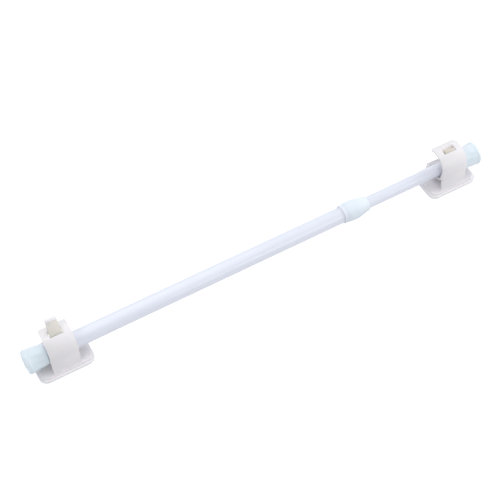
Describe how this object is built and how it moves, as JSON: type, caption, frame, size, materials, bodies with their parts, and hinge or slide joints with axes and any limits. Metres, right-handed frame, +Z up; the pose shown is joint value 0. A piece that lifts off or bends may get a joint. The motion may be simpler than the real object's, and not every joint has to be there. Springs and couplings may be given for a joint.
{
  "type": "spring tension rod",
  "caption": "Telescopic spring tension rod with soft end caps, lying in stick-on clip brackets with open-backed jaws and grip tongues.",
  "frame": {"origin": "middle of the footprint, on the surface that the bracket pads stand on", "axes": "+X along the rod towards the thin tube and the right bracket, +Z up from the pads, +Y towards the open backs of the jaws"},
  "size_m": [0.3784, 0.029, 0.0429],
  "materials": {
    "tube_white": "glossy bluish white paint",
    "cap_aqua": "smooth pale aqua soft plastic",
    "collar_aqua": "glossy pale aqua",
    "bracket_white": "satin warm white",
    "tongue_beige": "matte beige",
    "foam": "white closed-cell foam",
    "steel": "bright drawn steel",
    "nylon": "natural nylon",
    "brass": "turned brass"
  },
  "bodies": {
    "outer_half": {"outer_tube": "tube_white", "collar": "collar_aqua", "left_end_cap": "cap_aqua", "left_bracket": "bracket_white", "left_foam_pad": "foam"},
    "left_tongue": {"left_grip_tongue": "tongue_beige"},
    "lock": {"lock_sleeve": "nylon", "thrust_washer": "steel", "push_spring": "steel"},
    "cone": {"lock_cone": "brass"},
    "spindle": {"spindle": "steel", "spindle_clip": "steel"},
    "right_end": {"right_bracket": "bracket_white", "right_foam_pad": "foam", "right_grip_tongue": "tongue_beige"},
    "inner_half": {"inner_tube": "tube_white", "guide_plug": "nylon", "right_end_cap": "cap_aqua"}
  },
  "joints": [
    {"name": "left_tongue_slide", "type": "slide", "parent": "outer_half", "child": "left_tongue", "axis": [0, 0.6157, 0.788], "range_m": [-0.005, 0.0025]},
    {"name": "length_adjust", "type": "slide", "parent": "outer_half", "child": "lock", "axis": [1, 0, 0], "range_m": [-0.045, 0.08]},
    {"name": "spring_travel", "type": "slide", "parent": "lock", "child": "right_end", "axis": [1, 0, 0], "range_m": [-0.012, 0], "stiffness_N_per_m": 400, "springref_m": 0.015, "deforming": ["push_spring"]},
    {"name": "twist", "type": "hinge", "parent": "right_end", "child": "inner_half", "pos_m": [0, -0.0005, 0.0165], "axis": [1, 0, 0], "range_deg": [-180, 45]},
    {"name": "spindle_turn", "type": "hinge", "parent": "lock", "child": "spindle", "pos_m": [0, -0.0005, 0.0165], "axis": [1, 0, 0], "range_deg": [-181, 46]},
    {"name": "cone_draw", "type": "slide", "parent": "lock", "child": "cone", "axis": [1, 0, 0], "range_m": [-0.00036, 0.0001]}
  ],
  "couplings": [
    {"joint": "spindle_turn", "follows": "twist", "ratio": 1},
    {"joint": "cone_draw", "follows": "twist", "m_per_rad": 0.00011141}
  ]
}
